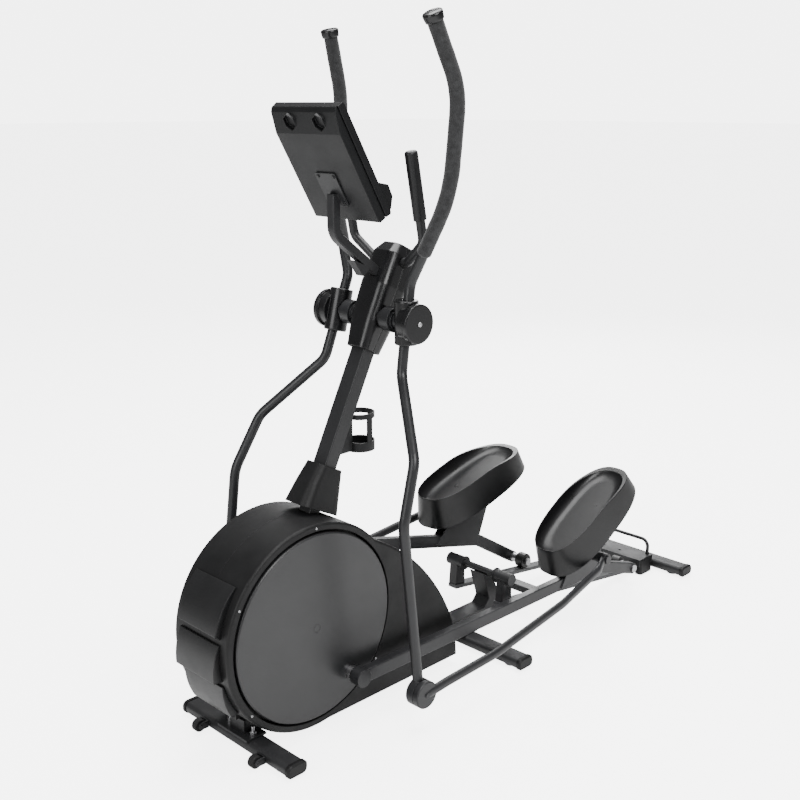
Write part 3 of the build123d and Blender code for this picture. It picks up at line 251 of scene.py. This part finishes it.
def foam(name, dark, light):
    """Soft open-celled foam, speckled between two colours."""
    material, tree, shader = new_material(name)
    cells = use(tree, FOAM, Scale=320.0)
    tone = blend_colour(tree, cells.outputs["Speckle"], dark, light)
    tree.links.new(tone, shader.inputs["Base Color"])
    sheen = use(tree, SHEEN, Low=0.72, High=0.92, Scale=60.0)
    tree.links.new(sheen.outputs["Roughness"], shader.inputs["Roughness"])
    bump = add(tree, "ShaderNodeBump", {"Height": cells.outputs["Height"], "Strength": 0.8,
                                        "Distance": 0.0006})
    tree.links.new(bump.outputs[0], shader.inputs["Normal"])
    shader.inputs["Sheen Weight"].default_value = 0.25
    shader.inputs["Sheen Roughness"].default_value = 0.5
    return material


def bare_metal(name, colour, low, high, scale):
    """Turned or plated metal; scale sets how close its rings lie."""
    material, tree, shader = new_material(name)
    lines = use(tree, LINES, Scale=scale)
    edges = use(tree, EDGE_HIGHLIGHT, Radius=0.0006, Wear=0.4)
    tone = blend_colour(tree, lines.outputs["Shade"], lighter(colour, 0.75), lighter(colour, 1.2))
    tree.links.new(tone, shader.inputs["Base Color"])
    sheen = use(tree, SHEEN, Low=low, High=high, Scale=40.0)
    tree.links.new(sheen.outputs["Roughness"], shader.inputs["Roughness"])
    bump = add(tree, "ShaderNodeBump", {"Height": lines.outputs["Height"], "Normal": edges.outputs["Normal"],
                                        "Strength": 0.4, "Distance": 0.00005})
    tree.links.new(bump.outputs[0], shader.inputs["Normal"])
    shader.inputs["Metallic"].default_value = 1.0
    return material


MATERIALS = {
    "frame_paint": coated("frame_powder_coat", (0.0130, 0.0132, 0.0142), 0.36, 0.48, grain=1400,
                          top_grey=0.16),
    "arm_paint": coated("arm_satin_coat", (0.0135, 0.0138, 0.0150), 0.28, 0.40, grain=1600, top_grey=0.10,
                        radius=0.003),
    "rail_paint": coated("rail_grey_coat", (0.060, 0.061, 0.064), 0.30, 0.42, grain=1400, top_grey=0.25),
    "housing_plastic": coated("housing_matte_black", (0.0032, 0.0032, 0.0035), 0.44, 0.58, grain=800,
                              depth=0.0001, top_grey=0.05, radius=0.003, gloss=0.3),
    "trim_plastic": coated("trim_satin_grey", (0.0060, 0.0061, 0.0065), 0.34, 0.44, grain=1000,
                           top_grey=0.08, radius=0.004),
    "disc_plastic": coated("disc_satin_grey", (0.0110, 0.0112, 0.0120), 0.30, 0.38, grain=1000,
                           top_grey=0.05, radius=0.003, gloss=0.55),
    "head_plastic": coated("head_semi_gloss", (0.0042, 0.0042, 0.0048), 0.22, 0.34, grain=1200,
                           top_grey=0.06, coat=0.12, radius=0.005),
    "console_plastic": coated("console_shell", (0.0050, 0.0052, 0.0058), 0.38, 0.50, grain=1000,
                              top_grey=0.04, radius=0.003, gloss=0.3),
    "screen_panel": coated("screen_dark_glass", (0.002, 0.0022, 0.0026), 0.05, 0.09, grain=300,
                           depth=0.00001, top_grey=0.01, highlight=0.0, coat=1.0),
    "keypad_membrane": coated("keypad_film", (0.022, 0.023, 0.025), 0.30, 0.42, grain=2200, top_grey=0.04),
    "pedal_plastic": coated("pedal_black_plastic", (0.0034, 0.0034, 0.0038), 0.27, 0.40, grain=700,
                            depth=0.00014, top_grey=0.04, highlight=0.7, radius=0.004),
    "grip_foam": foam("grip_mottled_foam", (0.0040, 0.0040, 0.0046), (0.0150, 0.0152, 0.0165)),
    "pulse_grip_plastic": coated("pulse_grip_skin", (0.0055, 0.0055, 0.0062), 0.34, 0.48, grain=900,
                                 top_grey=0.05),
    "rubber": coated("foot_rubber", (0.0040, 0.0040, 0.0040), 0.62, 0.80, grain=500, depth=0.0002,
                     top_grey=0.12),
    "roller_plastic": coated("roller_polyurethane", (0.0055, 0.0055, 0.0055), 0.30, 0.5, grain=900,
                             top_grey=0.08),
    "bright_steel": bare_metal("zinc_plated_steel", (0.45, 0.45, 0.46), 0.24, 0.38, 900.0),
    "cast_iron": bare_metal("turned_iron", (0.18, 0.18, 0.18), 0.35, 0.55, 400.0),
    "bracket_steel": coated("bracket_zinc_coat", (0.12, 0.12, 0.13), 0.35, 0.5, metallic=0.6),
    "inlet_plastic": coated("inlet_black", (0.004, 0.004, 0.004), 0.4, 0.5, top_grey=0.02),
}


def finish_cad_nodes():
    slots = {part["node"]: part["material_slot"] for part in frame["record"]["subparts"]}
    for name, node in nodes.items():
        material = MATERIALS[slots[name]]
        node.data.materials.clear()
        node.data.materials.append(material)


# ---- pieces -------------------------------------------------------------------------------------
def keep(piece, body, slot, *replaced):
    """Give a finished piece its finish and let it ride on its body."""
    piece.data.materials.clear()
    piece.data.materials.append(MATERIALS[slot])
    for face in piece.data.polygons:
        face.use_smooth = True
    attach(piece, body)
    if replaced:
        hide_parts(*replaced)
    return piece


def new_object(name, mesh):
    piece = bpy.data.objects.new(name, mesh)
    bpy.context.scene.collection.objects.link(piece)
    return piece


def baked(piece, name):
    """Turn a piece with modifiers into a plain mesh."""
    bpy.context.view_layer.update()
    done = bpy.data.meshes.new_from_object(piece.evaluated_get(bpy.context.evaluated_depsgraph_get()))
    bpy.data.objects.remove(piece)
    return new_object(name, done)


def rounded_route(corners, radii, step):
    """Points every step along straight runs whose inner corners are turned into arcs."""
    runs = [corners[0]]
    for before, corner, after, radius in zip(corners, corners[1:], corners[2:], radii):
        back, on = (before - corner).normalized(), (after - corner).normalized()
        half = back.angle(on) / 2
        reach = radius / tan(half)
        centre = corner + (back + on).normalized() * (radius / sin(half))
        start, end = corner + back * reach - centre, corner + on * reach - centre
        turn = start.angle(end)
        pieces = max(6, int(radius * turn / step))
        for i in range(pieces + 1):
            part = i / pieces
            spoke = (start * sin((1 - part) * turn) + end * sin(part * turn)) / sin(turn)
            runs.append(centre + spoke)
    runs.append(corners[-1])
    points = [runs[0]]
    for low, high in zip(runs, runs[1:]):
        count = max(1, int((high - low).length / step))
        points += [low.lerp(high, (i + 1) / count) for i in range(count)]
    return points


def ring_mesh(name, rings):
    """A closed mesh over rings of points, all with the same number of points."""
    shell = bmesh.new()
    loops = [[shell.verts.new(point) for point in ring] for ring in rings]
    around = len(loops[0])
    for low, high in zip(loops, loops[1:]):
        for i in range(around):
            shell.faces.new((low[i], low[(i + 1) % around], high[(i + 1) % around], high[i]))
    shell.faces.new(reversed(loops[0]))
    shell.faces.new(loops[-1])
    mesh = bpy.data.meshes.new(name)
    shell.to_mesh(mesh)
    shell.free()
    return mesh


def swept(name, points, radius_at, around=28):
    """A closed tube along points; radius_at gives its radius from the length so far."""
    rings = []
    travelled = 0.0
    side = (points[1] - points[0]).cross(Vector((0, 1, 0))).normalized()
    for index, point in enumerate(points):
        ahead = points[min(index + 1, len(points) - 1)] - points[max(index - 1, 0)]
        ahead.normalize()
        side = (side - ahead * side.dot(ahead)).normalized()
        other = ahead.cross(side)
        if index:
            travelled += (point - points[index - 1]).length
        radius = radius_at(travelled)
        rings.append([point + side * radius * cos(2 * pi * i / around)
                      + other * radius * sin(2 * pi * i / around) for i in range(around)])
    return ring_mesh(name, rings)


# the left grip's route in metres: X from the crank axis, Y from the middle plane, Z from the floor
GRIP_CORNERS = [(-0.3257, 0.1735, 1.243), (-0.331, 0.258, 1.396),
                (-0.330, 0.284, 1.640), (-0.248, 0.281, 1.794)]
GRIP_BENDS = (0.380, 0.230)
GRIP_RADIUS = 0.0195
GRIP_STEP = 0.0035
FOAM_END, FOAM_END_DROP = 0.006, 0.004
RIPPLE_DEPTH, RIPPLE_LOSS = 0.0005, 0.6
BROAD_RIPPLE, FINE_RIPPLE = 38.0, 110.0
# the end knob's profile: the length past the foam's end, and the radius there
KNOB = ((0.0, 0.0226), (0.004, 0.0236), (0.014, 0.0249), (0.018, 0.0249), (0.0205, 0.0232),
        (0.0218, 0.0195))


def grip_corners(side):
    """The grip's corners at rest.

    Half a turn of the crank brings the right handlebar to the left one's pose, so its corners are
    the left ones mirrored and turned back by that swing.
    """
    corners = [Vector((CRANK.x + x, y, z)) for x, y, z in GRIP_CORNERS]
    if side == "left":
        return corners
    ratio = next(c["ratio"] for c in frame["record"]["behaviour"]["couplings"]
                 if c["joint"] == "right_handlebar_pivot")
    pivot = joint_at["right_handlebar_pivot"]
    swing = Matrix.Rotation(-ratio * pi, 3, "Y")
    return [pivot + swing @ (Vector((c.x, -c.y, c.z)) - pivot) for c in corners]


def foam_radius(travelled):
    """The sleeve's radius, drawn in at its lower end."""
    if travelled < FOAM_END:
        return GRIP_RADIUS - FOAM_END_DROP * (1 - travelled / FOAM_END) ** 2
    return GRIP_RADIUS


def make_foam_grip(side):
    """Foam sleeve and end knob of one handlebar, slightly uneven along its length."""
    points = rounded_route(grip_corners(side), GRIP_BENDS, GRIP_STEP)
    mesh = swept(side + "_foam_grip", points, foam_radius)
    for vertex in mesh.vertices:
        ripple = noise.noise(vertex.co * BROAD_RIPPLE) + 0.5 * noise.noise(vertex.co * FINE_RIPPLE)
        vertex.co += vertex.normal * (ripple - RIPPLE_LOSS) * RIPPLE_DEPTH
    sleeve = keep(new_object(side + "_foam_grip", mesh), side + "_handlebar", "grip_foam",
                  side + "_grip")
    along = (points[-1] - points[-2]).normalized()
    stations = [points[-1] + along * length for length, _ in KNOB]
    radii = {round(length, 5): radius for length, radius in KNOB}
    knob = swept(side + "_grip_knob", stations, lambda travelled: radii[round(travelled, 5)])
    keep(new_object(side + "_grip_knob", knob), side + "_handlebar", "head_plastic")


# ---- screws and keys, placed by a node tree -----------------------------------------------------
def make_screw_tree():
    """Puts a copy of a head on every vertex, turned to the vertex's aim."""
    tree = bpy.data.node_groups.new("screw_row", "GeometryNodeTree")
    for label, kind in (("Geometry", "Geometry"), ("Head", "Object"), ("Size", "Float"),
                        ("Finish", "Material")):
        tree.interface.new_socket(label, in_out="INPUT", socket_type="NodeSocket" + kind)
    tree.interface.new_socket("Geometry", in_out="OUTPUT", socket_type="NodeSocketGeometry")
    given = tree.nodes.new("NodeGroupInput")
    out = tree.nodes.new("NodeGroupOutput")
    head = add(tree, "GeometryNodeObjectInfo", {"Object": given.outputs["Head"]})
    aim = add(tree, "GeometryNodeInputNamedAttribute", {"Name": "aim"}, data_type="FLOAT_VECTOR")
    turn = add(tree, "FunctionNodeAlignRotationToVector", {"Vector": aim.outputs["Attribute"]}, axis="Z")
    placed = add(tree, "GeometryNodeInstanceOnPoints", {
        "Points": given.outputs["Geometry"], "Instance": head.outputs["Geometry"],
        "Rotation": turn.outputs[0], "Scale": given.outputs["Size"]})
    solid = add(tree, "GeometryNodeRealizeInstances", {0: placed.outputs[0]})
    final = add(tree, "GeometryNodeSetMaterial", {"Geometry": solid.outputs[0],
                                                  "Material": given.outputs["Finish"]})
    tree.links.new(final.outputs[0], out.inputs[0])
    return tree


SCREW_PROFILE = ((1.0, 0.0), (1.0, 0.25), (0.88, 0.5), (0.62, 0.66), (0.46, 0.68))
SOCKET_PROFILE = ((0.44, 0.60), (0.42, 0.22))
SCREW_SIDES = 18
KEY_PROFILE = ((1.0, 0.0), (1.0, 0.10), (0.93, 0.18), (0.6, 0.14))
KEY_SIDES = 24


def circle(radius, height, sides):
    """Points round a circle at a height."""
    return [(radius * cos(2 * pi * i / sides), radius * sin(2 * pi * i / sides), height)
            for i in range(sides)]


def hexagon(radius, height, sides):
    """Points round a hexagon at a height; radius reaches to its corners."""
    points = []
    for i in range(sides):
        angle = 2 * pi * i / sides
        reach = radius * (cos(pi / 6) / cos((angle % (pi / 3)) - pi / 6))
        points.append((reach * cos(angle), reach * sin(angle), height))
    return points


def make_screw_head():
    """Domed head one unit in radius with a six-sided socket; its flat side is at Z = 0."""
    rings = [circle(radius, height, SCREW_SIDES) for radius, height in SCREW_PROFILE]
    rings += [hexagon(radius, height, SCREW_SIDES) for radius, height in SOCKET_PROFILE]
    return new_object("screw_head", ring_mesh("screw_head", rings))


def make_key_cap():
    """Low key one unit in radius with a dished top; its flat side is at Z = 0."""
    rings = [circle(radius, height, KEY_SIDES) for radius, height in KEY_PROFILE]
    return new_object("key_cap", ring_mesh("key_cap", rings))


ROW_TREE = make_screw_tree()
SCREW_HEAD = make_screw_head()
KEY_CAP = make_key_cap()
RING_SCREW_REACH = 0.2695  # in the gap between a disc and its well
RING_SCREW_ANGLES = (92, 28, -38, 218)
RING_SCREW_RADIUS = 0.0035
RING_SCREW_SINK = 0.0004
PIVOT_SCREW_RADIUS = 0.007
CONSOLE_LEAN = radians(30.4)
KEY_OFFSETS = (-0.064, -0.032, 0.0, 0.032, 0.064)
KEY_RADIUS = 0.0105
KEY_LIFT = 0.00135  # from the middle of the keypad's film to its face


def add_row(name, body, slot, radius, places, head):
    """One piece of many heads; places lists a point and the direction that its head looks."""
    mesh = bpy.data.meshes.new(name)
    mesh.from_pydata([tuple(point) for point, _ in places], [], [])
    aims = mesh.attributes.new("aim", "FLOAT_VECTOR", "POINT")
    for index, (_, direction) in enumerate(places):
        aims.data[index].vector = direction
    piece = new_object(name + "_work", mesh)
    row = piece.modifiers.new("row", "NODES")
    row.node_group = ROW_TREE
    sockets = {item.name: item.identifier for item in ROW_TREE.interface.items_tree
               if item.in_out == "INPUT"}
    row[sockets["Head"]] = head
    row[sockets["Size"]] = radius
    row[sockets["Finish"]] = MATERIALS[slot]
    keep(baked(piece, name), body, slot)


def on_crank_circle(radius, degrees_up, y):
    """The point of a circle round the crank axis, by its angle up from straight ahead."""
    angle = radians(degrees_up)
    return Vector((CRANK.x + radius * cos(angle), y, CRANK.z + radius * sin(angle)))


def outer_face(node, sign):
    """Y of a node's outer face, on the left where sign is 1 and on the right where it is -1."""
    low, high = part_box(node)
    return high.y if sign > 0 else low.y


def place_screws():
    """Screws in each housing's ring gap and one on each handlebar's pivot cap."""
    for side, sign in (("left", 1), ("right", -1)):
        outward = (0, sign, 0)
        y = outer_face(side + "_housing", sign) - sign * RING_SCREW_SINK
        ring = [(on_crank_circle(RING_SCREW_REACH, angle, y), outward) for angle in RING_SCREW_ANGLES]
        add_row(side + "_housing_screws", "frame", "bright_steel", RING_SCREW_RADIUS, ring, SCREW_HEAD)
        pivot = joint_at[side + "_handlebar_pivot"]
        cap = Vector((pivot.x, outer_face(side + "_pivot_sleeve", sign), pivot.z))
        add_row(side + "_pivot_screw", side + "_handlebar", "bright_steel", PIVOT_SCREW_RADIUS,
                [(cap, outward)], SCREW_HEAD)


def place_keys():
    """A row of keys across the console's film."""
    low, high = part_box("console_keypad")
    outward = Vector((-cos(CONSOLE_LEAN), 0, sin(CONSOLE_LEAN)))
    face = (low + high) / 2 + outward * KEY_LIFT
    keys = [(face + Vector((0, y, 0)), outward) for y in KEY_OFFSETS]
    add_row("console_keys", "frame", "pulse_grip_plastic", KEY_RADIUS, keys, KEY_CAP)


# ---- room, light and camera ---------------------------------------------------------------------
WHITE = (1.0, 1.0, 1.0, 1.0)
PAPER = (0.85, 0.85, 0.85, 1.0)
FLOOR_REACH = 90
# how bright the paper and the room are to the light, and to the camera alone
FLOOR_GLOW, FLOOR_GLOW_SEEN = 0.25, 4.6
ROOM_GLOW, ROOM_GLOW_SEEN = 0.22, 6.6
LIGHT_AIM = (0.0, 0.0, 0.7)
# name, place, width and height in metres, and power in watts
SOFTBOXES = (("key_softbox", (1.2, 3.6, 3.4), (2.6, 2.0), 170),
             ("front_softbox", (4.2, 0.2, 2.2), (2.0, 2.6), 85),
             ("top_softbox", (-0.4, -0.2, 4.6), (3.6, 3.0), 300),
             ("back_softbox", (-3.6, -2.6, 2.8), (2.2, 2.2), 140))
CAMERA_PLACE = (2.3521, 2.1135, 1.6098)
CAMERA_YAW, CAMERA_FALL = radians(45.03), radians(14.9)
CAMERA_LENS, SENSOR_WIDTH = 50.06, 36.0


def make_floor():
    """A wide sheet of studio paper under the machine."""
    reach = FLOOR_REACH
    mesh = bpy.data.meshes.new("studio_floor")
    mesh.from_pydata([(-reach, -reach, 0), (reach, -reach, 0), (reach, reach, 0), (-reach, reach, 0)],
                     [], [(0, 1, 2, 3)])
    floor = new_object("studio_floor", mesh)
    material, tree, shader = new_material("studio_paper")
    seen = add(tree, "ShaderNodeLightPath").outputs["Is Camera Ray"]
    glow = add(tree, "ShaderNodeMapRange", {"Value": seen, "To Min": FLOOR_GLOW,
                                            "To Max": FLOOR_GLOW_SEEN})
    tree.links.new(glow.outputs[0], shader.inputs["Emission Strength"])
    shader.inputs["Base Color"].default_value = PAPER
    shader.inputs["Roughness"].default_value = 0.9
    shader.inputs["Emission Color"].default_value = WHITE
    mesh.materials.append(material)


def add_light(name, place, size, power):
    data = bpy.data.lights.new(name, "AREA")
    data.shape = "RECTANGLE"
    data.size, data.size_y = size
    data.energy = power
    light = bpy.data.objects.new(name, data)
    light.location = place
    light.rotation_euler = (Vector(LIGHT_AIM) - Vector(place)).to_track_quat("-Z", "Y").to_euler()
    bpy.context.scene.collection.objects.link(light)


def make_light():
    """A dim room that the camera sees as bright, and four softboxes."""
    world = bpy.data.worlds.new("studio")
    bpy.context.scene.world = world
    world.use_nodes = True
    tree = world.node_tree
    room = tree.nodes["Background"]
    room.inputs["Color"].default_value = WHITE
    room.inputs["Strength"].default_value = ROOM_GLOW
    backdrop = add(tree, "ShaderNodeBackground", {"Strength": ROOM_GLOW_SEEN})
    seen = add(tree, "ShaderNodeLightPath").outputs["Is Camera Ray"]
    mixed = add(tree, "ShaderNodeMixShader", {0: seen, 1: room.outputs[0], 2: backdrop.outputs[0]})
    tree.links.new(mixed.outputs[0], tree.nodes["World Output"].inputs["Surface"])
    for name, place, size, power in SOFTBOXES:
        add_light(name, place, size, power)


def make_camera():
    data = bpy.data.cameras.new("view")
    data.lens = CAMERA_LENS
    data.sensor_width = SENSOR_WIDTH
    camera = bpy.data.objects.new("view", data)
    camera.location = CAMERA_PLACE
    look = Vector((-cos(CAMERA_YAW) * cos(CAMERA_FALL), -sin(CAMERA_YAW) * cos(CAMERA_FALL),
                   -sin(CAMERA_FALL)))
    camera.rotation_euler = look.to_track_quat("-Z", "Y").to_euler()
    bpy.context.scene.collection.objects.link(camera)
    bpy.context.scene.camera = camera


finish_cad_nodes()
for side in ("left", "right"):
    make_foam_grip(side)
place_screws()
place_keys()
for pattern in (SCREW_HEAD, KEY_CAP):
    bpy.data.objects.remove(pattern)
make_floor()
make_light()
make_camera()
